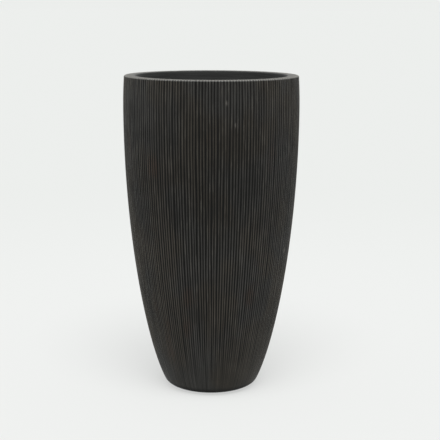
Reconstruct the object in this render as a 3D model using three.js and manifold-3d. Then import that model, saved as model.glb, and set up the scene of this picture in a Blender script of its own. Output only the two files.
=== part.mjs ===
// A tall round floor planter in glass-fibre, standing on four small pads.
// A ribbed face coat is backed by a glass laminate. The rim is a boxed lip, folded in and down,
// with a filler core and a closing strip. The base is a bonded plate with a stopped drain hole.
// Millimetres, +Z up. The origin is the centre of the standing plane, under the drain hole.

import * as THREE from 'three';
import { mergeVertices } from 'three/addons/utils/BufferGeometryUtils.js';
import Module from 'manifold-3d';

const wasm = await Module();
wasm.setup();

// Outer form
const HEIGHT = 680; // floor to rim
const BELLY_RADIUS = 188; // over the ribs, at the widest level
const BELLY_DROP = 72; // rim down to the widest level
const RIM_TUCK = 2.3; // how much the shoulder draws in from the belly to the top edge
const FOOT_RADIUS = 84; // flat ring under the base
const FLARE = THREE.MathUtils.degToRad(26.4); // slope of the flank as it leaves the foot
const FLARE_REACH = 81; // how far the flank keeps near that slope
const BELLY_REACH = 286.5; // how far below the belly the flank turns upright

// Wall, from the outside in
const RIB_COUNT = 190;
const RIB_DEPTH = 1.6; // crest to groove
const FACE_COAT = 2.5; // stone-filled resin under the grooves
const BOND = 0.3; // resin line between two bonded pieces
const LAMINATE = 3; // glass mat and resin
const INSIDE_CORNER = 14; // radius inside, where the wall meets the foot

// Rim
const RIM_WIDTH = 24.7; // outer edge to the mouth
const RETURN_DEPTH = 40; // how far the lip turns down inside
const EDGE_SOFTENING = 2.5; // both top edges
const STRIP_LIP = 3; // closing strip, at the mouth
const STRIP_HEEL = 12; // closing strip, at the wall

// Base
const FOOT_WIDTH = 30; // flat ring under the base, outside to inside
const PLATE = 6;
const BEAD = 12; // resin fillet between plate and wall
const DRAIN_RADIUS = 15;

// Drain plug
const PLUG_CLEARANCE = 0.3;
const STEM_TAPER = 1.5;
const SEAT_WIDTH = 7; // flange beyond the hole
const FLANGE = 4;
const NECK_RADIUS = 6;
const NECK_HEIGHT = 7;
const KNOB_RADIUS = 11;
const KNOB_HEIGHT = 9;

// Foot pads
const PAD_COUNT = 4;
const PAD_RADIUS = 10;
const PAD_THICKNESS = 3;

// Facets
const SEGMENTS = 48; // round every turned piece
const PAD_SEGMENTS = 24;
const CORNER_STEPS = 3;
const FLANK_STEPS = 6;

const point = (r, z) => new THREE.Vector2(r, z);

// Levels of the outside, over the ribs: the foot corner, the flank, then the shoulder to the rim.
const coat = RIB_DEPTH + FACE_COAT;
const wall = coat + BOND + LAMINATE;
const footCorner = INSIDE_CORNER + wall;
const rimRadius = BELLY_RADIUS - RIM_TUCK;
const bellyLevel = HEIGHT - BELLY_DROP;
const edgeLevel = HEIGHT - EDGE_SOFTENING;

const corner = new THREE.EllipseCurve(
  FOOT_RADIUS, PAD_THICKNESS + footCorner, footCorner, footCorner, -Math.PI / 2, -FLARE);
const flankStart = corner.getPoint(1);
const flank = new THREE.CubicBezierCurve(
  flankStart,
  point(flankStart.x + FLARE_REACH * Math.sin(FLARE), flankStart.y + FLARE_REACH * Math.cos(FLARE)),
  point(BELLY_RADIUS, bellyLevel - BELLY_REACH),
  point(BELLY_RADIUS, bellyLevel));
const shoulder = new THREE.QuadraticBezierCurve(
  point(BELLY_RADIUS, bellyLevel),
  point(BELLY_RADIUS, (bellyLevel + edgeLevel) / 2),
  point(rimRadius, edgeLevel));

// Each level holds a point of the crest line, its outward direction and the rib's share of its depth.
function levelsOf(curve, steps, first, ribShare) {
  const levels = [];
  for (let i = first; i <= steps; i += 1) {
    const along = curve.getTangent(i / steps);
    levels.push({
      crest: curve.getPoint(i / steps),
      outward: point(along.y, -along.x),
      rib: ribShare(i / steps),
    });
  }
  return levels;
}

const levels = [
  ...levelsOf(corner, CORNER_STEPS, 0, (t) => t),
  ...levelsOf(flank, FLANK_STEPS, 1, () => 1),
  ...levelsOf(shoulder, 1, 1, () => 1),
];

const inset = (level, depth) => level.crest.clone().addScaledVector(level.outward, -depth);

// The wall at a depth below the crests, from the foot's flat ring up to the inside of the rim.
function wallLine(depth) {
  const below = levels.slice(0, -1).map((level) => inset(level, depth));
  return [...below, point(rimRadius - depth, HEIGHT - depth)];
}

function radiusAt(line, z) {
  const upper = Math.max(1, line.findIndex((p) => p.y >= z));
  const [a, b] = [line[upper - 1], line[upper]];
  return a.x + (b.x - a.x) * (z - a.y) / (b.y - a.y);
}

// Solids
function turned(points) {
  return new THREE.LatheGeometry(points, SEGMENTS).rotateX(Math.PI / 2);
}

const turnedRing = (points) => turned([...points, points[0]]);

function toSolid(geometry) {
  const bare = new THREE.BufferGeometry();
  bare.setAttribute('position', geometry.getAttribute('position'));
  bare.setIndex(geometry.getIndex());
  const merged = mergeVertices(bare, 1e-4);
  const index = merged.getIndex().array;
  const corners = [];
  for (let i = 0; i < index.length; i += 3) {
    const [a, b, c] = index.slice(i, i + 3);
    if (a !== b && b !== c && c !== a) corners.push(a, b, c);
  }
  return new wasm.Manifold(new wasm.Mesh({
    numProp: 3,
    vertProperties: new Float32Array(merged.getAttribute('position').array),
    triVerts: new Uint32Array(corners),
  }));
}

function toGeometry(solid) {
  const mesh = solid.getMesh();
  const geometry = new THREE.BufferGeometry();
  geometry.setAttribute('position', new THREE.BufferAttribute(mesh.vertProperties, 3));
  geometry.setIndex(new THREE.BufferAttribute(mesh.triVerts, 1));
  geometry.computeVertexNormals();
  return geometry;
}

// A stack of rings, each with a crest and a groove for every rib, closed by a flat cap at each end.
function ribbedGeometry(rings) {
  const perRing = 2 * RIB_COUNT;
  const positions = [];
  for (const { crest, groove } of rings) {
    for (let k = 0; k < perRing; k += 1) {
      const side = k % 2 ? groove : crest;
      const angle = k * Math.PI / RIB_COUNT;
      positions.push(side.x * Math.cos(angle), side.x * Math.sin(angle), side.y);
    }
  }
  const bottomCentre = positions.length / 3;
  const topCentre = bottomCentre + 1;
  const lastRing = (rings.length - 1) * perRing;
  positions.push(0, 0, rings[0].crest.y);
  positions.push(0, 0, rings.at(-1).crest.y);
  const index = [];
  for (let k = 0; k < perRing; k += 1) {
    const next = (k + 1) % perRing;
    index.push(bottomCentre, next, k);
    index.push(topCentre, lastRing + k, lastRing + next);
    for (let low = 0; low < lastRing; low += perRing) {
      const high = low + perRing;
      index.push(low + k, low + next, high + next);
      index.push(low + k, high + next, high + k);
    }
  }
  const geometry = new THREE.BufferGeometry();
  geometry.setAttribute('position', new THREE.BufferAttribute(new Float32Array(positions), 3));
  geometry.setIndex(index);
  return geometry;
}

const planter = new THREE.Group();
planter.name = 'tall_planter';

function add(name, geometry, finish) {
  const mesh = new THREE.Mesh(geometry, new THREE.MeshStandardMaterial(finish));
  mesh.name = name;
  planter.add(mesh);
  return mesh;
}

// Levels and radii that several pieces share
const footOpening = FOOT_RADIUS - FOOT_WIDTH;
const mouthRadius = rimRadius - RIM_WIDTH;
const returnBack = mouthRadius + FACE_COAT;
const returnFoot = HEIGHT - RETURN_DEPTH;
const liningOuter = wallLine(coat + BOND);
const liningInner = wallLine(wall);
const liningBack = returnBack + BOND + LAMINATE;

// Ribbed shell: the face coat, with a foot that turns in below and a lip that turns in and down.
const rings = levels.map((level) => ({
  crest: level.crest,
  groove: inset(level, RIB_DEPTH * level.rib),
}));
rings.push({
  crest: point(rimRadius - EDGE_SOFTENING, HEIGHT),
  groove: point(rimRadius - RIB_DEPTH - EDGE_SOFTENING, HEIGHT),
});
const cutMargin = 1;
const hollow = turned([
  point(0, PAD_THICKNESS - cutMargin),
  point(footOpening, PAD_THICKNESS - cutMargin),
  point(footOpening, PAD_THICKNESS + coat),
  ...wallLine(coat),
  point(returnBack, HEIGHT - coat),
  point(returnBack, returnFoot),
  point(mouthRadius, returnFoot),
  point(mouthRadius, edgeLevel),
  point(mouthRadius + EDGE_SOFTENING, HEIGHT),
  point(mouthRadius + EDGE_SOFTENING + cutMargin, HEIGHT + cutMargin),
  point(0, HEIGHT + cutMargin),
]);
const shell = toSolid(ribbedGeometry(rings)).subtract(toSolid(hollow));
add('ribbed_shell', toGeometry(shell), { color: '#2e2d2b', roughness: 0.85, metalness: 0 });

// Wall laminate: lines the foot, the wall and the inside of the lip.
add('wall_laminate', turnedRing([
  point(footOpening, PAD_THICKNESS + coat + BOND),
  ...liningOuter,
  point(returnBack + BOND, HEIGHT - coat - BOND),
  point(returnBack + BOND, returnFoot),
  point(liningBack, returnFoot),
  point(liningBack, HEIGHT - wall),
  ...liningInner.toReversed(),
  point(footOpening, PAD_THICKNESS + wall),
]), { color: '#2b2b2a', roughness: 0.95, metalness: 0 });

// Rim core: fills the channel inside the lip.
const coreTop = HEIGHT - wall - BOND;
add('rim_core', turnedRing([
  point(liningBack + BOND, returnFoot),
  point(radiusAt(liningInner, returnFoot) - BOND, returnFoot),
  point(radiusAt(liningInner, coreTop) - BOND, coreTop),
  point(liningBack + BOND, coreTop),
]), { color: '#b9a98a', roughness: 0.9, metalness: 0 });

// Rim closing strip: a bevelled band under the lip that shuts the channel against the wall.
const stripTop = returnFoot - BOND;
const stripHeel = stripTop - STRIP_HEEL;
add('rim_closing_strip', turnedRing([
  point(mouthRadius, stripTop - STRIP_LIP),
  point(radiusAt(liningInner, stripHeel) - BOND, stripHeel),
  point(radiusAt(liningInner, stripTop) - BOND, stripTop),
  point(mouthRadius, stripTop),
]), { color: '#2b2b2a', roughness: 0.95, metalness: 0 });

// Base plate: a disc with the drain hole, bedded on the foot.
const plateBottom = PAD_THICKNESS + wall + BOND;
const plateTop = plateBottom + PLATE;
add('base_plate', turnedRing([
  point(DRAIN_RADIUS, plateBottom),
  point(FOOT_RADIUS, plateBottom),
  point(radiusAt(liningInner, plateTop) - BOND, plateTop),
  point(DRAIN_RADIUS, plateTop),
]), { color: '#313130', roughness: 0.9, metalness: 0 });

// Base bead: the resin fillet that seals the plate to the wall.
const beadTop = plateTop + BEAD;
const beadFoot = radiusAt(liningInner, plateTop) - BOND;
const beadHead = radiusAt(liningInner, beadTop) - BOND;
add('base_bead', turnedRing([
  point(beadFoot - BEAD, plateTop),
  point(beadFoot, plateTop),
  point(beadHead, beadTop),
  point((beadFoot + beadHead) / 2 - BEAD / 3, plateTop + BEAD / 3),
]), { color: '#363533', roughness: 0.7, metalness: 0 });

// Drain plug: a rubber stopper that drops into the hole from inside, with a knob to lift it by.
const stemRadius = DRAIN_RADIUS - PLUG_CLEARANCE;
const flangeRadius = DRAIN_RADIUS + SEAT_WIDTH;
const flangeTop = plateTop + FLANGE;
const knobBottom = flangeTop + NECK_HEIGHT;
const knobTop = knobBottom + KNOB_HEIGHT;
add('drain_plug', turned([
  point(0, plateBottom),
  point(stemRadius - STEM_TAPER, plateBottom),
  point(stemRadius, plateTop),
  point(flangeRadius, plateTop),
  point(flangeRadius, flangeTop - FLANGE / 4),
  point(flangeRadius - FLANGE / 4, flangeTop),
  point(NECK_RADIUS, flangeTop),
  point(NECK_RADIUS, knobBottom),
  point(KNOB_RADIUS, knobBottom + KNOB_HEIGHT / 4),
  point(KNOB_RADIUS, knobTop - KNOB_HEIGHT / 3),
  point(KNOB_RADIUS * 0.7, knobTop),
  point(0, knobTop),
]), { color: '#1f1f1f', roughness: 0.8, metalness: 0 });

// Foot pads: rubber discs, halfway across the foot's flat ring.
const padCircle = FOOT_RADIUS - FOOT_WIDTH / 2;
for (let i = 0; i < PAD_COUNT; i += 1) {
  const angle = (i + 0.5) * 2 * Math.PI / PAD_COUNT;
  const disc = new THREE.CylinderGeometry(PAD_RADIUS, PAD_RADIUS, PAD_THICKNESS, PAD_SEGMENTS);
  const pad = add(`foot_pad_${i + 1}`, disc.rotateX(Math.PI / 2),
    { color: '#232323', roughness: 0.8, metalness: 0 });
  pad.position.set(padCircle * Math.cos(angle), padCircle * Math.sin(angle), PAD_THICKNESS / 2);
}

export default planter;
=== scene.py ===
import math

import bpy
import numpy as np
from mathutils import Matrix, Vector
from mathutils.geometry import interpolate_bezier


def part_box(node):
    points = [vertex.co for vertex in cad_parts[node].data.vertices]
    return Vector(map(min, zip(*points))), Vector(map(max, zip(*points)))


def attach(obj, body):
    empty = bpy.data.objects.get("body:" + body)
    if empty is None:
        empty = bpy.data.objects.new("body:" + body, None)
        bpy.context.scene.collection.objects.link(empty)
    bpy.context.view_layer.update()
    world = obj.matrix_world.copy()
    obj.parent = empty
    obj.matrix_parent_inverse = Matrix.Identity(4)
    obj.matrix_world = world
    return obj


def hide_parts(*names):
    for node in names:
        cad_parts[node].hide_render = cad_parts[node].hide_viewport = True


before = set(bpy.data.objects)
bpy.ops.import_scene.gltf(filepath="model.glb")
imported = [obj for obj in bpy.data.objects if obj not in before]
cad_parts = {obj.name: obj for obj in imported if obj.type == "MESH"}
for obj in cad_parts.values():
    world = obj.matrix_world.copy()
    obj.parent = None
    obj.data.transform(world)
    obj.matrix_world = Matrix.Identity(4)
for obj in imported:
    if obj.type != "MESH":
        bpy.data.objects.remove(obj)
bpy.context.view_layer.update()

scene = bpy.context.scene
scene.view_settings.view_transform = "Standard"

# ---------------------------------------------------------------------------------------------
# Stage: a pale seamless floor under soft studio light.
# A broad lamp hangs nearly overhead, on the camera's side, and the room's white walls fill in.
# ---------------------------------------------------------------------------------------------


def linear(red, green, blue):
    """A colour as read off a screen, 0 to 255, in the linear values that a shader takes."""
    shares = [value / 255 for value in (red, green, blue)]
    return tuple(s / 12.92 if s <= 0.04045 else ((s + 0.055) / 1.055) ** 2.4 for s in shares)


class Signal:
    """One output of a node in a finish. Sums written on it add the Math nodes."""

    def __init__(self, finish, socket):
        self.finish = finish
        self.socket = socket

    def math(self, operation, first, second):
        return self.finish.node("ShaderNodeMath", {"operation": operation}, {0: first, 1: second})

    def __add__(self, other):
        return self.math("ADD", self, other)

    def __radd__(self, other):
        return self.math("ADD", other, self)

    def __sub__(self, other):
        return self.math("SUBTRACT", self, other)

    def __rsub__(self, other):
        return self.math("SUBTRACT", other, self)

    def __mul__(self, other):
        return self.math("MULTIPLY", self, other)

    def __rmul__(self, other):
        return self.math("MULTIPLY", other, self)

    def span(self, low, high):
        """Low where the signal is 0, high where it is 1."""
        return low + (high - low) * self


class Finish:
    """A node material, made one node at a time."""

    def __init__(self, name):
        self.material = bpy.data.materials.new(name)
        self.material.use_nodes = True
        self.tree = self.material.node_tree
        self.shader = self.tree.nodes["Principled BSDF"]

    def node(self, kind, settings=None, inputs=None, out=0):
        made = self.tree.nodes.new(kind)
        for key, value in (settings or {}).items():
            setattr(made, key, value)
        self.feed(made, inputs or {})
        return Signal(self, made.outputs[out])

    def feed(self, node, inputs):
        for key, value in inputs.items():
            if isinstance(value, Signal):
                self.tree.links.new(value.socket, node.inputs[key])
            elif isinstance(value, tuple) and node.inputs[key].type == "RGBA":
                node.inputs[key].default_value = (*value, 1.0)
            else:
                node.inputs[key].default_value = value

    def coat(self, **sockets):
        """Sets the shader's sockets by name, with _ for each space."""
        self.feed(self.shader, {name.replace("_", " "): value for name, value in sockets.items()})

    def mix(self, share, first, second):
        return self.node("ShaderNodeMix", {"data_type": "RGBA"}, {0: share, 6: first, 7: second}, out=2)

    def spot(self):
        return self.node("ShaderNodeTexCoord", out="Object")

    def attribute(self, name, out="Fac"):
        return self.node("ShaderNodeAttribute", {"attribute_name": name}, out=out)

    def noise(self, size, stretch=(1, 1, 1), detail=2.0, roughness=0.5, on=None):
        """Noise from 0 to 1 in patches of about that size in metres, longer where stretch is small."""
        laid = self.node("ShaderNodeMapping", None, {"Vector": on or self.spot(), "Scale": stretch})
        return self.node("ShaderNodeTexNoise", None, {
            "Vector": laid, "Scale": 1 / size, "Detail": detail, "Roughness": roughness})

    def step(self, value, low, high):
        """0 below low, 1 above high, smooth between."""
        return self.node("ShaderNodeMapRange", {"interpolation_type": "SMOOTHSTEP"}, {
            "Value": value, "From Min": low, "From Max": high})

    def bump(self, height, distance, strength):
        return self.node(
            "ShaderNodeBump", None, {"Height": height, "Distance": distance, "Strength": strength})


# The camera stands where the outline and the rim's ellipse say that the picture was taken from.
CAMERA_DISTANCE = 2.323
CAMERA_HEIGHT = 0.818
CAMERA_PITCH = math.radians(11)
CAMERA_YAW = math.radians(0.468)
CAMERA_ROLL = math.radians(0.178)
SENSOR_WIDTH = 36.0
FOCAL_PIXELS = 1086.6
PICTURE_PIXELS = 440

BACKGROUND = linear(236, 238, 236)
FLOOR_COLOUR = linear(224, 226, 224)
NEAR_GLOW = linear(241, 242, 241)
FAR_GLOW = linear(233, 235, 233)
FAR_AWAY = 2.8
GLOW_SHARE = 0.62
ROOM_COLOUR = 1, 1, 1
ROOM_LIGHT = 0.50
LAMP_LIGHT = 2.4
LAMP_SOFTNESS = math.radians(40)
LAMP_LEAN = math.radians(24)
LAMP_SIDE = math.radians(3)
FLOOR_SIZE = 4000.0

camera = bpy.data.objects.new("camera", bpy.data.cameras.new("camera"))
camera.data.sensor_width = SENSOR_WIDTH
camera.data.lens = FOCAL_PIXELS * SENSOR_WIDTH / PICTURE_PIXELS
camera.data.clip_end = FLOOR_SIZE
aim = (
    Matrix.Rotation(-CAMERA_YAW, 3, "Z")
    @ Matrix.Rotation(math.pi / 2 - CAMERA_PITCH, 3, "X")
    @ Matrix.Rotation(CAMERA_ROLL, 3, "Z")
)
camera.location = (0, -CAMERA_DISTANCE, CAMERA_HEIGHT)
camera.rotation_euler = aim.to_euler()
scene.collection.objects.link(camera)
scene.camera = camera

# The walls light the planter evenly. The camera and the gloss see the background's colour there.
world = bpy.data.worlds.new("room")
world.use_nodes = True
scene.world = world
room = world.node_tree
room.nodes.clear()
walls = room.nodes.new("ShaderNodeBackground")
walls.inputs["Strength"].default_value = ROOM_LIGHT
walls.inputs["Color"].default_value = (*ROOM_COLOUR, 1)
seen_walls = room.nodes.new("ShaderNodeBackground")
seen_walls.inputs["Color"].default_value = (*BACKGROUND, 1)
ray = room.nodes.new("ShaderNodeLightPath")
looked_at = room.nodes.new("ShaderNodeMath")
looked_at.operation = "MAXIMUM"
choice = room.nodes.new("ShaderNodeMixShader")
room_out = room.nodes.new("ShaderNodeOutputWorld")
room.links.new(ray.outputs["Is Camera Ray"], looked_at.inputs[0])
room.links.new(ray.outputs["Is Glossy Ray"], looked_at.inputs[1])
room.links.new(looked_at.outputs[0], choice.inputs[0])
room.links.new(walls.outputs[0], choice.inputs[1])
room.links.new(seen_walls.outputs[0], choice.inputs[2])
room.links.new(choice.outputs[0], room_out.inputs[0])

lamp = bpy.data.objects.new("lamp", bpy.data.lights.new("lamp", "SUN"))
lamp.data.energy = LAMP_LIGHT
lamp.data.angle = LAMP_SOFTNESS
lamp.rotation_euler = (LAMP_LEAN, 0, LAMP_SIDE)
scene.collection.objects.link(lamp)

# The floor keeps the planter's shadow, under a pale glow that dims away from it.
bpy.ops.object.select_all(action="DESELECT")
bpy.ops.mesh.primitive_plane_add(size=FLOOR_SIZE)
floor = bpy.context.object
floor.name = "floor"
paper = Finish("pale_paper")
paper.coat(Base_Color=FLOOR_COLOUR, Roughness=1.0, Specular_IOR_Level=0.0)
away = paper.node("ShaderNodeVectorMath", {"operation": "LENGTH"}, {0: paper.spot()}, out="Value")
glow = paper.node("ShaderNodeEmission", None, {
    "Color": paper.mix(paper.step(away, 0.0, FAR_AWAY), NEAR_GLOW, FAR_GLOW)})
seen = paper.node("ShaderNodeLightPath", out="Is Camera Ray")
lit = paper.node("ShaderNodeMixShader", None, {
    0: seen * GLOW_SHARE, 1: Signal(paper, paper.shader.outputs[0]), 2: glow})
paper.feed(paper.tree.nodes["Material Output"], {"Surface": lit})
floor.data.materials.append(paper.material)

# ---------------------------------------------------------------------------------------------
# Ribbed shell: stone-filled resin cast as one coat against a ribbed mould, then washed with a
# dark pigment that is rubbed thin on the crests. Its foot turns in below, and its lip turns in
# over the rim and down into the mouth.
# ---------------------------------------------------------------------------------------------

# The outline's sizes, in metres.
COAT = 0.0041
LIP_COAT = 0.0025
BELLY_DROP = 0.072
RIM_TUCK = 0.0023
RIM_WIDTH = 0.0247
RETURN_DEPTH = 0.040
EDGE_ROUNDING = 0.0025
FOOT_RADIUS = 0.084
FOOT_WIDTH = 0.030
FOOT_CORNER = 0.0214
FLARE = math.radians(26.4)
FLARE_REACH = 0.081
BELLY_REACH = 0.2865

# How the outline is divided, and the distances that count as none.
CORNER_ROWS = 6
FLANK_ROWS = 26
SHOULDER_ROWS = 4
NEAR_EDGE = 0.985
EDGE_ROWS = 4
RETURN_ROWS = 4
HIDDEN_STRIDE = 6
WELD = 1e-6
TOUCH = 1e-5

# The ribs, and where they fade in above the foot, with the flare and over the rim's edge.
RIBS = 190
POINTS_PER_RIB = 8
RIB_DEPTH = 0.0016
SHALLOWEST = 0.20
FOOT_FADE = 0.004, 0.030
NARROW_FADE = 0.54, 0.92
RIM_FADE = -1.6 * EDGE_ROUNDING, -0.4 * EDGE_ROUNDING
LAND_FADE = 0.36 * EDGE_ROUNDING, 2.16 * EDGE_ROUNDING
OUTER_SKIN = 0.5 * COAT

# How far the ribs differ from each other, as shares of a rib's depth or width.
RIB_SEED = 11
CREST_DROP = 0.20
PROUD_EVERY = 3
PROUD_DROP = 0.3
GROOVE_LIFT = 0.22
LEAN = 0.14
WANDER = 0.03, 0.12
WANDER_LENGTH = 0.12, 0.4
SQUARENESS = 1.4

# The contrast of crest and groove by level, and the even tone that it fades to.
CONTRAST_LEVELS = 0.20, 0.45, 0.64, 0.677, 0.679
CONTRASTS = 1.15, 1.06, 0.54, 0.54, 1.2
EVEN_TONE = 0.62
HIDDEN_TONE = 0.5

shell_low, shell_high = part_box("ribbed_shell")
foot_level = shell_low.z
rim_level = shell_high.z
belly_radius = shell_high.x
rim_radius = belly_radius - RIM_TUCK
mouth_radius = rim_radius - RIM_WIDTH
foot_opening = FOOT_RADIUS - FOOT_WIDTH
return_foot = rim_level - RETURN_DEPTH
belly_level = rim_level - BELLY_DROP
edge_level = rim_level - EDGE_ROUNDING


def spot(r, z):
    return Vector((r, 0, z))


def arc(centre, radius, start, end, steps):
    """Points on an arc in the outline's plane, both ends included. Angles are from the outside, up."""
    angles = np.linspace(start, end, steps + 1)
    return [centre + radius * Vector((math.cos(a), 0, math.sin(a))) for a in angles]


def between(first, last, steps):
    """Points from one to the other, without the first."""
    return [first.lerp(last, i / steps) for i in range(1, steps + 1)]


def within(line, depth):
    """The line moved in by a depth, square to itself. The line runs up the outside of a wall."""
    before = [line[0]] + line[:-1]
    after = line[1:] + [line[-1]]
    ways = [(b - a).normalized() for a, b in zip(before, after)]
    return [point + depth * Vector((-way.z, 0, way.x)) for point, way in zip(line, ways)]


def radius_at(line, level):
    """How far from the axis a rising line of an outline is at a level."""
    return np.interp(level, [point.z for point in line], [point.x for point in line])


def turn(name, outline, steps):
    """A piece turned round Z from its outline, which closes on itself or starts and ends on the axis."""
    bpy.ops.object.select_all(action="DESELECT")
    bpy.ops.mesh.primitive_plane_add(size=0.01)
    piece = bpy.context.object
    piece.name = name
    piece.data.name = name
    bpy.ops.object.mode_set(mode="EDIT")
    bpy.ops.mesh.merge(type="CENTER")
    bpy.ops.transform.translate(value=outline[0])
    for last, following in zip(outline, outline[1:]):
        bpy.ops.mesh.extrude_vertices_move(TRANSFORM_OT_translate={"value": following - last})
    bpy.ops.mesh.select_all(action="SELECT")
    bpy.ops.mesh.remove_doubles(threshold=WELD)
    bpy.ops.object.mode_set(mode="OBJECT")
    lathe = piece.modifiers.new("lathe", "SCREW")
    lathe.steps = steps
    lathe.render_steps = steps
    lathe.use_merge_vertices = True
    lathe.merge_threshold = WELD
    bpy.ops.object.modifier_apply(modifier="lathe")
    bpy.ops.object.mode_set(mode="EDIT")
    bpy.ops.mesh.select_all(action="SELECT")
    bpy.ops.mesh.normals_make_consistent(inside=False)
    bpy.ops.object.mode_set(mode="OBJECT")
    bpy.ops.object.shade_smooth()
    return piece


def positions(piece):
    flat = np.empty(len(piece.data.vertices) * 3)
    piece.data.vertices.foreach_get("co", flat)
    return flat.reshape(-1, 3)


def around(co):
    """Each place's distance from the axis, its angle round it and its level."""
    return np.hypot(co[:, 0], co[:, 1]), np.arctan2(co[:, 1], co[:, 0]), co[:, 2]


def ramp(values, start, end):
    """0 up to the start, 1 from the end, straight between."""
    return np.clip((values - start) / (end - start), 0, 1)


def paint(piece, name, values):
    """Stores a number, or three, at each vertex for the finish to read."""
    values = np.asarray(values, dtype=np.float32)
    kind, field = ("FLOAT", "value") if values.ndim == 1 else ("FLOAT_VECTOR", "vector")
    layer = piece.data.attributes.new(name, kind, "POINT")
    layer.data.foreach_set(field, values.ravel())


def press(piece, depths, most):
    """Presses the surface in, square to itself, by each vertex's share of the most."""
    dents = piece.vertex_groups.new(name="dents")
    for index in np.nonzero(depths > 0)[0]:
        dents.add([int(index)], float(depths[index]), "REPLACE")
    dent = piece.modifiers.new("dent", "DISPLACE")
    dent.vertex_group = dents.name
    dent.mid_level = 0.0
    dent.strength = -most
    dent.direction = "NORMAL"
    bpy.context.view_layer.objects.active = piece
    bpy.ops.object.modifier_apply(modifier="dent")
    piece.vertex_groups.clear()


def lay_out(piece):
    """Gives a turned wall seamless coordinates that run round and up it, in attribute sheet."""
    _, angle, level = around(positions(piece))
    paint(piece, "sheet", np.stack(
        [belly_radius * np.cos(angle), belly_radius * np.sin(angle), level], axis=1))


foot_corner = arc(
    spot(FOOT_RADIUS, foot_level + FOOT_CORNER), FOOT_CORNER, -math.pi / 2, -FLARE, CORNER_ROWS)
flare_way = Vector((math.sin(FLARE), 0, math.cos(FLARE)))
flank = interpolate_bezier(
    foot_corner[-1], foot_corner[-1] + FLARE_REACH * flare_way,
    spot(belly_radius, belly_level - BELLY_REACH), spot(belly_radius, belly_level), FLANK_ROWS + 1)
shoulder = [
    spot(belly_radius - RIM_TUCK * t * t, belly_level + (edge_level - belly_level) * t)
    for t in [*np.linspace(0, 1, SHOULDER_ROWS)[:-1], NEAR_EDGE, 1]
]
outside = foot_corner + flank[1:] + shoulder[1:]
outer_edge = arc(
    spot(rim_radius - EDGE_ROUNDING, edge_level), EDGE_ROUNDING, 0, math.pi / 2, EDGE_ROWS)
inner_edge = arc(
    spot(mouth_radius + EDGE_ROUNDING, edge_level), EDGE_ROUNDING, math.pi / 2, math.pi, EDGE_ROWS)
return_top = spot(mouth_radius, edge_level - EDGE_ROUNDING)
outline = (
    [spot(foot_opening, foot_level + COAT), spot(foot_opening, foot_level)]
    + outside
    + outer_edge[1:]
    + inner_edge
    + [return_top]
    + between(return_top, spot(mouth_radius, return_foot), RETURN_ROWS)
    + [spot(mouth_radius + LIP_COAT, return_foot), spot(mouth_radius + LIP_COAT, rim_level - COAT)]
    + [spot(rim_radius - COAT, rim_level - COAT)]
    + within(outside, COAT)[-SHOULDER_ROWS::-HIDDEN_STRIDE]
    + [spot(FOOT_RADIUS, foot_level + COAT)]
)
outline.append(outline[0])
shell = turn("ribbed_shell_cast", outline, RIBS * POINTS_PER_RIB)

# Each rib has its own depth, width and slow wander. Every third one stands a little prouder.
rib_random = np.random.default_rng(RIB_SEED)
crest_drop = rib_random.uniform(0.0, CREST_DROP, RIBS)
crest_drop[::PROUD_EVERY] *= PROUD_DROP
groove_lift = rib_random.uniform(0.0, GROOVE_LIFT, RIBS)
lean = rib_random.uniform(-LEAN, LEAN, RIBS)
wander = rib_random.uniform(*WANDER, RIBS)
wander_length = rib_random.uniform(*WANDER_LENGTH, RIBS)
wander_start = rib_random.uniform(0, 2 * math.pi, RIBS)
rib_tone = rib_random.uniform(0.0, 1.0, RIBS)

radius, angle, level = around(positions(shell))
turns = angle / (2 * math.pi) * RIBS
rib = np.round(turns).astype(int) % RIBS
across = turns - np.round(turns)
sway = lean[rib] + wander[rib] * np.sin(level / wander_length[rib] * 2 * math.pi + wander_start[rib])
across = across - sway * (1 - 4 * across ** 2)
wave = np.cos(across * 2 * math.pi)
crest = 0.5 + 0.5 * np.tanh(SQUARENESS * wave) / math.tanh(SQUARENESS)
groove = np.where(across > 0, rib, (rib - 1) % RIBS)
height = crest * (1 - crest_drop[rib]) + (1 - crest) * groove_lift[groove]

# The ribs are only on the outer face. They are shallower and fainter where the foot is narrow.
outer_r = radius_at(outside, level)
outer_face = radius > outer_r - OUTER_SKIN
foot_fade = ramp(level - foot_level, *FOOT_FADE)
rim_fade = np.where(level > edge_level - TOUCH, ramp(radius - rim_radius, *RIM_FADE), 1)
wide = ramp(outer_r / belly_radius, *NARROW_FADE)
taper = wide ** 2 * (3 - 2 * wide)
ribbed = outer_face * foot_fade * rim_fade * (SHALLOWEST + (1 - SHALLOWEST) * taper)
contrast = taper * np.interp(level, CONTRAST_LEVELS, CONTRASTS)
crest_tone = height * contrast + EVEN_TONE * (1 - contrast)
land = ramp(level, edge_level, rim_level) * ramp(radius - mouth_radius, *LAND_FADE)

paint(shell, "crest", np.where(outer_face, crest_tone, HIDDEN_TONE))
paint(shell, "tone", rib_tone[rib])
paint(shell, "ribbed", ribbed)
paint(shell, "land", land)
lay_out(shell)
press(shell, ribbed * (1 - height), RIB_DEPTH)

GROOVE_COLOUR = linear(6, 6, 5)
CREST_COLOURS = linear(60, 59, 57), linear(63, 59, 53)
WORN_COLOUR = linear(94, 91, 85)
WARM_COLOUR = linear(60, 44, 34)
SMEAR_COLOUR = linear(30, 29, 27)
SCUFF_COLOUR = linear(118, 114, 108)
LIP_COLOURS = linear(34, 35, 34), linear(78, 79, 78)
# The rim's land and the ribs' ends: pale from wear, and partly painted highlight for the light glancing
# off the rim's top.
LAND_WEAR_AND_HIGHLIGHT_COLOURS = linear(97, 95, 90), linear(119, 116, 109)
RIB_END_WEAR_AND_HIGHLIGHT_COLOURS = linear(84, 83, 82), linear(142, 142, 138)

# Levels in metres between which the belt of painted shade comes in and goes out, the foot's line of
# painted contact shade ends, and the lip's brushed coat starts.
SHADE_BELT_IN = 0.31, 0.43
SHADE_BELT_OUT = 0.56, 0.66
FOOT_CONTACT_SHADE = 0.008, 0.020
LIP_START = 0.634, 0.640

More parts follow.
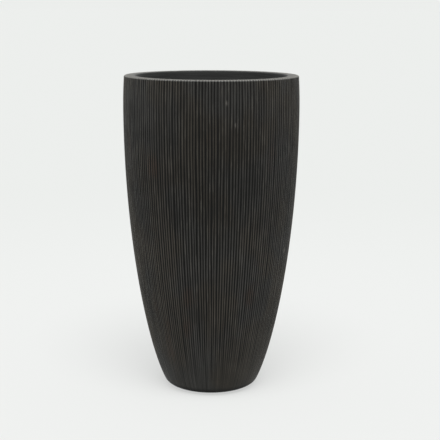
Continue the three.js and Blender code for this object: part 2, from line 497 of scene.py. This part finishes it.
# Spots in the wash: degrees round from the front, and the level. Then their widths and lengths.
THIN_SPOTS = (-18, 0.234), (30, 0.230), (-40, 0.505), (-20, 0.166), (112, 0.41), (160, 0.26), (-128, 0.30)
SMEARS = (-12, 0.190), (84, 0.330), (-150, 0.460)
SCUFFS = (9.4, 0.636), (15, 0.592), (-97, 0.55), (141, 0.621), (65, 0.315)
THIN_SPOT_SIZE = 0.020, 0.030
SMEAR_SIZE = 0.026, 0.020
SCUFF_SIZE = 0.003, 0.007
RAGGEDNESS = 0.9
SPOT_LIMITS = 0.25, 1.1

# How far the noises pull on the rubbing and the wear, and between which values each one shows.
STREAK_PULL = 0.5
TONE_PULL = 0.12
GRAIN_PULL = 0.2
RUBBED_LIMITS = 0.25, 0.85
TINT_LIMITS = 0.4, 0.6
SOOT_LIMITS = 0.35, 0.65
WORN_LIMITS = 0.50, 0.72
WARM_LIMITS = 0.64, 0.8
RIB_LIMITS = 0.02, 0.3

# How much of each goes over the wash.
SOOT_SHARE = 0.22
SHADE_BELT_SHARE = 0.26
WORN_SHARES = 0.05, 0.55
WARM_SHARE = 0.45
SMEAR_SHARE = 0.45
SCUFF_SHARE = 0.8
WASH_ROUGHNESS = 0.52, 0.72
LAND_POLISH = 0.06
GRAIN_RELIEF = 0.5

wash = Finish("charcoal_wash")
sheet = wash.attribute("sheet", out="Vector")
rise = wash.node("ShaderNodeSeparateXYZ", None, {"Vector": sheet}, out="Z")
crest_share = wash.attribute("crest")
tone_share = wash.attribute("tone")
ribbed_share = wash.attribute("ribbed")
land_share = wash.attribute("land")
streak = wash.noise(size=0.004, stretch=(1, 1, 0.04), detail=3, on=sheet)
grain = wash.noise(size=0.0016, detail=4, roughness=0.6)
cloud = wash.noise(size=0.05, detail=3)
patch = wash.noise(size=0.06, stretch=(1, 1, 0.5), detail=2)
tint = wash.noise(size=0.08, stretch=(1, 1, 0.6), detail=2)
brushed = wash.noise(size=0.003, stretch=(0.04, 0.04, 1), detail=3, on=sheet)
dash = wash.noise(size=0.0045, stretch=(1, 1, 0.11), detail=2, on=sheet)
ragged = wash.noise(size=0.012, stretch=(1, 1, 0.4), detail=3, on=sheet)


def spots(centres, width, length):
    """Ragged spots in the wash, 1 at each middle."""
    total = 0.0
    for degrees, level in centres:
        way = math.radians(degrees)
        middle = (math.sin(way) * belly_radius, -math.cos(way) * belly_radius, level)
        off = wash.node("ShaderNodeVectorMath", {"operation": "SUBTRACT"}, {0: sheet, 1: middle})
        drawn = wash.node("ShaderNodeVectorMath", {"operation": "MULTIPLY"}, {
            0: off, 1: (1 / width, 1 / width, 1 / length)})
        far = wash.node("ShaderNodeVectorMath", {"operation": "LENGTH"}, {0: drawn}, out="Value")
        total = 1 - wash.step(far + (ragged - 0.5) * RAGGEDNESS, *SPOT_LIMITS) + total
    return total


# The rub over the ribs: dark grooves, paler crests in two tints.
rubbed = wash.step(
    crest_share + (streak - 0.5) * STREAK_PULL + (tone_share - 0.5) * TONE_PULL, *RUBBED_LIMITS)
crest_colour = wash.mix(wash.step(tint, *TINT_LIMITS), *CREST_COLOURS)
coat_colour = wash.mix(rubbed, GROOVE_COLOUR, crest_colour)

# Darker clouds in the wash; then painted shade: a belt round the middle and a contact-shadow line at the
# foot.
sooty = wash.step(cloud, *SOOT_LIMITS)
# Painted shade: a belt round the middle of the wall is darkened toward the groove colour, standing in for
# the dimmer light there.
painted_shade_belt = wash.step(rise, *SHADE_BELT_IN) * (1 - wash.step(rise, *SHADE_BELT_OUT))
coat_colour = wash.mix(sooty * SOOT_SHARE + painted_shade_belt * SHADE_BELT_SHARE, coat_colour, GROOVE_COLOUR)
# Painted contact shadow: the wall below 8 mm is darkened to the groove colour, fading out by 20 mm, where
# the foot meets the floor.
coat_colour = wash.mix(1 - wash.step(rise, *FOOT_CONTACT_SHADE), coat_colour, GROOVE_COLOUR)

# Wear: pale dashes along the crests, warm thin spots, smears across the ribs and scuffs.
worn = wash.step(dash + (grain - 0.5) * GRAIN_PULL, *WORN_LIMITS) * rubbed * ribbed_share
coat_colour = wash.mix(worn * cloud.span(*WORN_SHARES), coat_colour, WORN_COLOUR)
warm = wash.step(patch, *WARM_LIMITS) + spots(THIN_SPOTS, *THIN_SPOT_SIZE)
coat_colour = wash.mix(warm * rubbed * WARM_SHARE, coat_colour, WARM_COLOUR)
smear = spots(SMEARS, *SMEAR_SIZE)
coat_colour = wash.mix(smear * SMEAR_SHARE, coat_colour, SMEAR_COLOUR)
scuff = spots(SCUFFS, *SCUFF_SIZE)
coat_colour = wash.mix(scuff * rubbed * SCUFF_SHARE, coat_colour, SCUFF_COLOUR)

# The lip inside the mouth is brushed round. The rim's land and the ribs' ends on it are pale partly from
# wear and partly as painted highlight for the light glancing off the rim.
on_ribs = wash.step(ribbed_share, *RIB_LIMITS)
lip_share = (1 - on_ribs) * wash.step(rise, *LIP_START)
coat_colour = wash.mix(lip_share, coat_colour, wash.mix(brushed, *LIP_COLOURS))
rib_ends_wear_and_highlight = wash.mix(rubbed, *RIB_END_WEAR_AND_HIGHLIGHT_COLOURS)
land_wear_and_highlight_colour = wash.mix(on_ribs, wash.mix(cloud, *LAND_WEAR_AND_HIGHLIGHT_COLOURS), rib_ends_wear_and_highlight)
coat_colour = wash.mix(land_share, coat_colour, land_wear_and_highlight_colour)

relief = grain * GRAIN_RELIEF + streak * (1 - GRAIN_RELIEF)
wash.coat(
    Base_Color=coat_colour,
    Roughness=grain.span(*WASH_ROUGHNESS) - LAND_POLISH * land_share,
    Normal=wash.bump(relief, distance=0.0004, strength=0.6),
    Specular_IOR_Level=0.15,
    Sheen_Weight=0.25,
    Sheen_Roughness=0.3)
shell.data.materials.append(wash.material)
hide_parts("ribbed_shell")
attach(shell, "planter")

# ---------------------------------------------------------------------------------------------
# Wall lining: chopped glass mat and dark resin, laid by hand behind the coat over the foot, up
# the wall and round the inside of the lip. Its inner side stays a little uneven.
# ---------------------------------------------------------------------------------------------
BOND = 0.0003
LAMINATE = 0.003
WALL = COAT + BOND + LAMINATE
LINING_STRIDE = 2
LINING_COLUMNS = 288
INNER_SKIN = 0.2 * LAMINATE
FOOT_MARGIN = 1e-4
UNEVENNESS = 0.0005
SWELL_REACH = 0.35

lining_outer = within(outside, COAT + BOND)
lining_inner = within(outside, WALL)
lining_back = mouth_radius + LIP_COAT + BOND
lining_outline = (
    [spot(foot_opening, foot_level + COAT + BOND)]
    + lining_outer[:-SHOULDER_ROWS:LINING_STRIDE]
    + [lining_outer[-1 - SHOULDER_ROWS], spot(rim_radius - COAT - BOND, rim_level - COAT - BOND)]
    + [spot(lining_back, rim_level - COAT - BOND), spot(lining_back, return_foot)]
    + [spot(lining_back + LAMINATE, return_foot), spot(lining_back + LAMINATE, rim_level - WALL)]
    + [spot(rim_radius - WALL, rim_level - WALL)]
    + lining_inner[-2::-1]
    + [spot(foot_opening, foot_level + WALL)]
)
lining_outline.append(lining_outline[0])
lining = turn("wall_lining", lining_outline, LINING_COLUMNS)


def swell(co, seed, size, waves=24):
    """Slow unevenness from 0 to 1 at each place, as a sum of seeded waves of about that size."""
    draw = np.random.default_rng(seed)
    ways = draw.normal(0, 1, (waves, 3))
    phases = draw.uniform(0, 2 * math.pi, waves)
    total = np.cos(co @ (ways.T / size) + phases).sum(axis=1) / math.sqrt(waves)
    return np.clip(0.5 + SWELL_REACH * total, 0, 1)


co = positions(lining)
radius, _, level = around(co)
inner_face = (
    (radius < radius_at(lining_inner, level) + INNER_SKIN)
    & (radius > foot_opening + FOOT_MARGIN)
    & (level < return_foot)
)
lay_out(lining)
press(lining, inner_face * swell(co, seed=5, size=0.02), UNEVENNESS)

RESIN_COLOURS = linear(36, 36, 35), linear(52, 52, 50)
STRAND_COLOUR = linear(78, 78, 74)
STRAND_SIZE = 0.0035
STRAND_LIMITS = 0.60, 0.72
STRAND_SHARES = 0.3, 0.8
STRAND_RELIEF = 0.6
SLANTS = 9.0, -7.0, 21.0, -24.0
MAT_ROUGHNESS = 0.55, 0.80


def crossed(finish, place, angles, stretch):
    """Glass strands that lie across each other at these turns, 1 on a strand."""
    strands = 0.0
    for angle in angles:
        turned = finish.node(
            "ShaderNodeVectorRotate", {"rotation_type": "Z_AXIS"}, {"Vector": place, "Angle": angle})
        lines = finish.noise(STRAND_SIZE, stretch, detail=1, on=turned)
        layer = finish.step(lines, *STRAND_LIMITS)
        strands = layer.math("MAXIMUM", strands, layer)
    return strands


# The strands slant over the wall: each layer turns, in radians, by so much for a metre of rise.
mat = Finish("chopped_mat_laminate")
sheet = mat.attribute("sheet", out="Vector")
rise = mat.node("ShaderNodeSeparateXYZ", None, {"Vector": sheet}, out="Z")
strands = crossed(mat, sheet, [rise * slant for slant in SLANTS], stretch=(1, 1, 0.07))
blotch = mat.noise(size=0.05, detail=3)
grit = mat.noise(size=0.002, detail=4, roughness=0.6)
resin = mat.mix(blotch, *RESIN_COLOURS)
relief = strands * STRAND_RELIEF + grit * (1 - STRAND_RELIEF)
mat.coat(
    Base_Color=mat.mix(strands * blotch.span(*STRAND_SHARES), resin, STRAND_COLOUR),
    Roughness=grit.span(*MAT_ROUGHNESS),
    Normal=mat.bump(relief, distance=0.0007, strength=0.7))
lining.data.materials.append(mat.material)
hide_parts("wall_laminate")
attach(lining, "planter")

# ---------------------------------------------------------------------------------------------
# Rim core: resin and chalk filler, trowelled into the lip's channel from below and rubbed flat.
# The CAD ring is right as it is and takes the filler's finish.
# ---------------------------------------------------------------------------------------------
FILLER_COLOURS = linear(176, 160, 128), linear(205, 190, 158)
CHALK_COLOUR = linear(222, 213, 192)
CHALK_LIMITS = 0.62, 0.7
CHALK_SHARE = 0.6
PITS_PER_METRE = 260.0
PIT_REACH = 0.25
PIT_RELIEF = 0.5
FILLER_ROUGHNESS = 0.85, 0.95

filler = Finish("chalk_filler")
drag = filler.noise(size=0.006, stretch=(0.15, 0.15, 1), detail=3)
specks = filler.step(filler.noise(size=0.0015, detail=2), *CHALK_LIMITS)
pit = filler.node(
    "ShaderNodeTexVoronoi", {"feature": "F1"}, {"Vector": filler.spot(), "Scale": PITS_PER_METRE})
relief = drag * (1 - PIT_RELIEF) + filler.step(pit, 0.0, PIT_REACH) * PIT_RELIEF
filler.coat(
    Base_Color=filler.mix(specks * CHALK_SHARE, filler.mix(drag, *FILLER_COLOURS), CHALK_COLOUR),
    Roughness=drag.span(*FILLER_ROUGHNESS),
    Normal=filler.bump(relief, distance=0.0006, strength=0.6))
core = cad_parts["rim_core"]
core.data.materials.clear()
core.data.materials.append(filler.material)

# ---------------------------------------------------------------------------------------------
# Rim closing strip: a laminate band pressed up under the lip to shut the core in. It is thin at
# the mouth and thick at the wall, with a hollow underside where the roller ran.
# ---------------------------------------------------------------------------------------------
STRIP_LIP = 0.003
STRIP_HOLLOW = 0.0018
STRIP_ROWS = 8
STRIP_EDGE = 0.0008
STRIP_SKIN = 0.2 * STRIP_LIP
STRIP_UNEVENNESS = 0.5 * UNEVENNESS

strip_low, strip_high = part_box("rim_closing_strip")
strip_lip = spot(mouth_radius + STRIP_EDGE, strip_high.z - STRIP_LIP)
strip_back = radius_at(lining_inner, strip_low.z) - BOND
strip_heel = spot(strip_back - STRIP_EDGE, strip_low.z)
underside = [
    strip_lip.lerp(strip_heel, t) + spot(0, STRIP_HOLLOW * math.sin(math.pi * t))
    for t in np.linspace(0, 1, STRIP_ROWS + 1)
]
strip_outline = (
    [spot(mouth_radius, strip_high.z), spot(mouth_radius, strip_lip.z + STRIP_EDGE)]
    + underside
    + [spot(strip_back, strip_low.z + STRIP_EDGE), spot(strip_back, strip_high.z)]
)
strip_outline.append(strip_outline[0])
strip = turn("closing_strip", strip_outline, LINING_COLUMNS)
co = positions(strip)
below_top = co[:, 2] < strip_high.z - STRIP_SKIN
lay_out(strip)
press(strip, below_top * swell(co, seed=7, size=0.015), STRIP_UNEVENNESS)
strip.data.materials.append(mat.material)
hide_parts("rim_closing_strip")
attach(strip, "planter")

# ---------------------------------------------------------------------------------------------
# Base plate: a pressed glass-mat disc, bevelled to the foot's corner and drilled in the middle.
# It is bonded on the turned-in foot.
# ---------------------------------------------------------------------------------------------
DRAIN_RADIUS = 0.015
DRAIN_CHAMFER = 0.0008
SEAT_RADIUS = 0.026
PLATE_ROWS = 14
PLATE_COLUMNS = 192
PLATE_EDGE = 0.001
PLATE_EDGE_START = -0.4
PLATE_EDGE_ROWS = 3
PLATE_UNEVENNESS = 0.8 * UNEVENNESS

plate_low, plate_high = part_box("base_plate")
plate_edge = arc(
    spot(plate_high.x - PLATE_EDGE, plate_high.z - PLATE_EDGE), PLATE_EDGE,
    PLATE_EDGE_START, math.pi / 2, PLATE_EDGE_ROWS)
plate_top = between(
    spot(plate_high.x - PLATE_EDGE, plate_high.z),
    spot(DRAIN_RADIUS + DRAIN_CHAMFER, plate_high.z), PLATE_ROWS)
plate_outline = (
    [spot(DRAIN_RADIUS, plate_low.z + DRAIN_CHAMFER), spot(DRAIN_RADIUS + DRAIN_CHAMFER, plate_low.z)]
    + [spot(FOOT_RADIUS, plate_low.z)]
    + plate_edge
    + plate_top
    + [spot(DRAIN_RADIUS, plate_high.z - DRAIN_CHAMFER)]
)
plate_outline.append(plate_outline[0])
plate = turn("drilled_base_plate", plate_outline, PLATE_COLUMNS)
co = positions(plate)
radius, _, level = around(co)
on_top = (level > plate_high.z - TOUCH) & (radius > SEAT_RADIUS)
press(plate, on_top * swell(co, seed=9, size=0.018), PLATE_UNEVENNESS)

PLATE_COLOURS = linear(42, 42, 41), linear(60, 60, 57)
FIBRE_COLOUR = linear(90, 89, 83)
FIBRE_WAYS = 0.3, 1.25, 2.1, 2.8
FIBRE_SHARE = 0.6
FIBRE_RELIEF = 0.6
PLATE_ROUGHNESS = 0.5, 0.8

board = Finish("pressed_mat_laminate")
fibres = crossed(board, board.spot(), FIBRE_WAYS, stretch=(1, 0.08, 1))
dust = board.noise(size=0.03, detail=4)
grit = board.noise(size=0.002, detail=4, roughness=0.6)
relief = fibres * FIBRE_RELIEF + grit * (1 - FIBRE_RELIEF)
board.coat(
    Base_Color=board.mix(fibres * FIBRE_SHARE, board.mix(dust, *PLATE_COLOURS), FIBRE_COLOUR),
    Roughness=grit.span(*PLATE_ROUGHNESS),
    Normal=board.bump(relief, distance=0.0006, strength=0.7))
plate.data.materials.append(board.material)
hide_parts("base_plate")
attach(plate, "planter")

# ---------------------------------------------------------------------------------------------
# Base bead: thickened resin run round the plate's edge and drawn hollow with a fingertip. It
# seals the plate to the wall.
# ---------------------------------------------------------------------------------------------
BEAD = 0.012
BEAD_ROWS = 10
BEAD_SAG = 0.0042
BEAD_EDGE = 0.0006
BEAD_UNEVENNESS = 1.2 * UNEVENNESS

bead_low, bead_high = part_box("base_bead")
bead_foot = plate_high.x
bead_head = bead_high.x
hollow_start = spot(bead_foot - BEAD, bead_low.z + BEAD_EDGE)
hollow_end = spot(bead_head - BEAD_EDGE, bead_high.z)
finger_way = spot(0.7, -0.7)
hollow = [
    hollow_start.lerp(hollow_end, t) + BEAD_SAG * math.sin(math.pi * t) * finger_way
    for t in np.linspace(0, 1, BEAD_ROWS + 1)
]
bead_outline = (
    [spot(bead_foot - BEAD, bead_low.z), spot(bead_foot, bead_low.z)]
    + [spot(bead_head, bead_high.z - BEAD_EDGE)]
    + hollow[::-1]
)
bead_outline.append(bead_outline[0])
bead = turn("sealing_bead", bead_outline, PLATE_COLUMNS)
co = positions(bead)
drawn = (co[:, 2] > bead_low.z + 2 * BEAD_EDGE) & (co[:, 2] < bead_high.z - TOUCH)
press(bead, drawn * swell(co, seed=13, size=0.009), BEAD_UNEVENNESS)

BEAD_COLOURS = linear(48, 46, 43), linear(66, 64, 59)
BEAD_ROUGHNESS = 0.38, 0.63
DRAG_RELIEF = 0.7

resin_bead = Finish("thickened_resin")
drag = resin_bead.noise(size=0.008, stretch=(1, 1, 2), detail=3)
fine = resin_bead.noise(size=0.0012, detail=3)
relief = drag * DRAG_RELIEF + fine * (1 - DRAG_RELIEF)
resin_bead.coat(
    Base_Color=resin_bead.mix(drag, *BEAD_COLOURS),
    Roughness=fine.span(*BEAD_ROUGHNESS),
    Normal=resin_bead.bump(relief, distance=0.0006, strength=0.6))
bead.data.materials.append(resin_bead.material)
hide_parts("base_bead")
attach(bead, "planter")

# ---------------------------------------------------------------------------------------------
# Drain plug: one moulding in black rubber. A tapered stem with two sealing ribs fills the hole,
# a flange seats on the plate, and a fluted knob on a neck is there to pull it out by.
# ---------------------------------------------------------------------------------------------
PLUG_ROWS = 5
PLUG_COLUMNS = 144
SOFT_EDGE = 0.001

# The stem. Its dish is given as shares of its radius, with how far each place is hollowed.
PLUG_CLEARANCE = 0.0003
STEM_TAPER = 0.0015
STEM_LEVELS = 13
STEM_DISH = (0, 0.0004), (0.4, 0.0004), (0.5, 0)
SEAL_RIBS = 2
SEAL_RIB = 0.0005
SEAT_GAP = 0.0004

# The flange. Its groove is given as distances in from its edge, and how deep it is at each.
SEAT_WIDTH = 0.007
FLANGE = 0.004
FLANGE_UNDERCUT = 0.0004
FLANGE_EDGE_START = -0.3
FLANGE_GROOVE = (0.0030, 0), (0.0036, 0.0005), (0.0050, 0.0005), (0.0056, 0)

# The neck and the knob. The crown is given as shares of the knob's radius, and its depth at each.
NECK_RADIUS = 0.006
NECK_HEIGHT = 0.007
NECK_FILLET = 0.0015
KNOB_RADIUS = 0.011
KNOB_ROWS = 3
KNOB_SIDE = 0.3
KNOB_CROWN = (0.55, 0), (0.45, 0.0006), (0.2, 0.0006), (0, 0.0006)
LOWER_EDGE = 2 * SOFT_EDGE
LOWER_EDGE_START = -1.1
UPPER_EDGE = 2.6 * SOFT_EDGE
UPPER_EDGE_START = 0.3
FLUTES = 12
FLUTE_DEPTH = 0.0009
FLUTE_START = 0.1
FLUTE_REACH = 0.8

plug_low, plug_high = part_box("drain_plug")
seat_level = plate_high.z
flange_top = seat_level + FLANGE
knob_bottom = flange_top + NECK_HEIGHT
knob_height = plug_high.z - knob_bottom
knob_side = knob_bottom + KNOB_SIDE * knob_height
stem_radius = DRAIN_RADIUS - PLUG_CLEARANCE
flange_radius = DRAIN_RADIUS + SEAT_WIDTH


def stem_at(z):
    """The stem's radius at a level, on its taper."""
    return stem_radius - STEM_TAPER * (seat_level - z) / (seat_level - plug_low.z)


def seal_at(i):
    """How far the stem is drawn in between its sealing ribs, as a share, at one of its levels."""
    return 0.5 + 0.5 * math.cos(2 * math.pi * SEAL_RIBS * i / (STEM_LEVELS - 1))


stem_foot = [spot(share * stem_radius, plug_low.z + lift) for share, lift in STEM_DISH]
stem_foot.append(spot(stem_at(plug_low.z) - SOFT_EDGE, plug_low.z))
stem = [
    spot(stem_at(z) - SEAL_RIB * seal_at(i), z)
    for i, z in enumerate(np.linspace(plug_low.z + SOFT_EDGE, seat_level - SEAT_GAP, STEM_LEVELS))
]
flange = (
    [spot(stem_radius - SEAL_RIB, seat_level), spot(flange_radius - FLANGE_UNDERCUT, seat_level)]
    + arc(
        spot(flange_radius - SOFT_EDGE, flange_top - SOFT_EDGE), SOFT_EDGE,
        FLANGE_EDGE_START, math.pi / 2, PLUG_ROWS)
    + [spot(flange_radius - inset, flange_top - depth) for inset, depth in FLANGE_GROOVE]
)
neck = arc(
    spot(NECK_RADIUS + NECK_FILLET, flange_top + NECK_FILLET), NECK_FILLET,
    1.5 * math.pi, math.pi, PLUG_ROWS)
neck.append(spot(NECK_RADIUS, knob_bottom))
knob = (
    arc(spot(KNOB_RADIUS - LOWER_EDGE, knob_side), LOWER_EDGE, LOWER_EDGE_START, 0, PLUG_ROWS)
    + between(
        spot(KNOB_RADIUS, knob_side), spot(KNOB_RADIUS, plug_high.z - UPPER_EDGE), KNOB_ROWS)
    + arc(
        spot(KNOB_RADIUS - UPPER_EDGE, plug_high.z - UPPER_EDGE), UPPER_EDGE,
        UPPER_EDGE_START, math.pi / 2, PLUG_ROWS)
)
crown = [spot(share * KNOB_RADIUS, plug_high.z - depth) for share, depth in KNOB_CROWN]
plug = turn("rubber_drain_plug", stem_foot + stem + flange + neck + knob + crown, PLUG_COLUMNS)
radius, angle, level = around(positions(plug))
on_knob = (level > knob_bottom + FLUTE_START * knob_height) & (radius > FLUTE_REACH * KNOB_RADIUS)
press(plug, on_knob * np.clip(np.cos(FLUTES * angle), 0, 1), FLUTE_DEPTH)

RUBBER_COLOURS = linear(26, 26, 26), linear(40, 40, 39)
PLUG_ROUGHNESS = 0.62, 0.80

rubber = Finish("moulded_rubber")
bloom = rubber.noise(size=0.012, detail=4)
skin = rubber.noise(size=0.0006, detail=3)
rubber.coat(
    Base_Color=rubber.mix(bloom, *RUBBER_COLOURS),
    Roughness=bloom.span(*PLUG_ROUGHNESS),
    Normal=rubber.bump(skin, distance=0.0001, strength=0.5))
plug.data.materials.append(rubber.material)
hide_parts("drain_plug")
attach(plug, "plug")

# ---------------------------------------------------------------------------------------------
# Foot pads: four moulded rubber discs glued under the foot ring. Each has a soft edge and a
# ringed grip face with a dished middle.
# ---------------------------------------------------------------------------------------------
PADS = 4
PAD_RADIUS = 0.010
PAD_EDGE = 0.0007
PAD_ROWS = 4
PAD_COLUMNS = 72
PAD_TOP = 0.5
GRIP_RINGS = 3
GRIP_STEPS = 6 * GRIP_RINGS
GRIP_DEPTH = 0.0004
GRIP_START = 0.35
GRIP_WIDTH = 0.5
DISH_WIDTH = 0.21
DISH_DEPTH = 0.0008
PAD_ROUGHNESS = 0.70, 0.85

pad_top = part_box("foot_pad_1")[1].z
grip = [
    spot(PAD_RADIUS * (GRIP_START + GRIP_WIDTH * i / GRIP_STEPS),
         GRIP_DEPTH * (0.5 - 0.5 * math.cos(2 * math.pi * GRIP_RINGS * i / GRIP_STEPS)))
    for i in range(GRIP_STEPS + 1)
]
pad_outline = (
    [spot(0, DISH_DEPTH), spot(DISH_WIDTH * PAD_RADIUS, DISH_DEPTH)]
    + grip
    + arc(spot(PAD_RADIUS - PAD_EDGE, PAD_EDGE), PAD_EDGE, -math.pi / 2, 0, PAD_ROWS)
    + arc(spot(PAD_RADIUS - PAD_EDGE, pad_top - PAD_EDGE), PAD_EDGE, 0, math.pi / 2, PAD_ROWS)
    + [spot(PAD_TOP * PAD_RADIUS, pad_top), spot(0, pad_top)]
)
pad_rubber = Finish("pad_rubber")
bloom = pad_rubber.noise(size=0.006, detail=4)
skin = pad_rubber.noise(size=0.0005, detail=3)
pad_rubber.coat(
    Base_Color=pad_rubber.mix(bloom, *RUBBER_COLOURS),
    Roughness=bloom.span(*PAD_ROUGHNESS),
    Normal=pad_rubber.bump(skin, distance=0.0001, strength=0.5))
first_pad = turn("pad_moulding", pad_outline, PAD_COLUMNS)
first_pad.data.materials.append(pad_rubber.material)
for number in range(1, PADS + 1):
    low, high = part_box(f"foot_pad_{number}")
    middle = (low + high) / 2
    pad = first_pad.copy()
    pad.data = first_pad.data.copy()
    pad.name = f"rubber_foot_{number}"
    pad.data.name = pad.name
    pad.data.transform(Matrix.Translation((middle.x, middle.y, 0)))
    scene.collection.objects.link(pad)
    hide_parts(f"foot_pad_{number}")
    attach(pad, "planter")
bpy.data.objects.remove(first_pad)
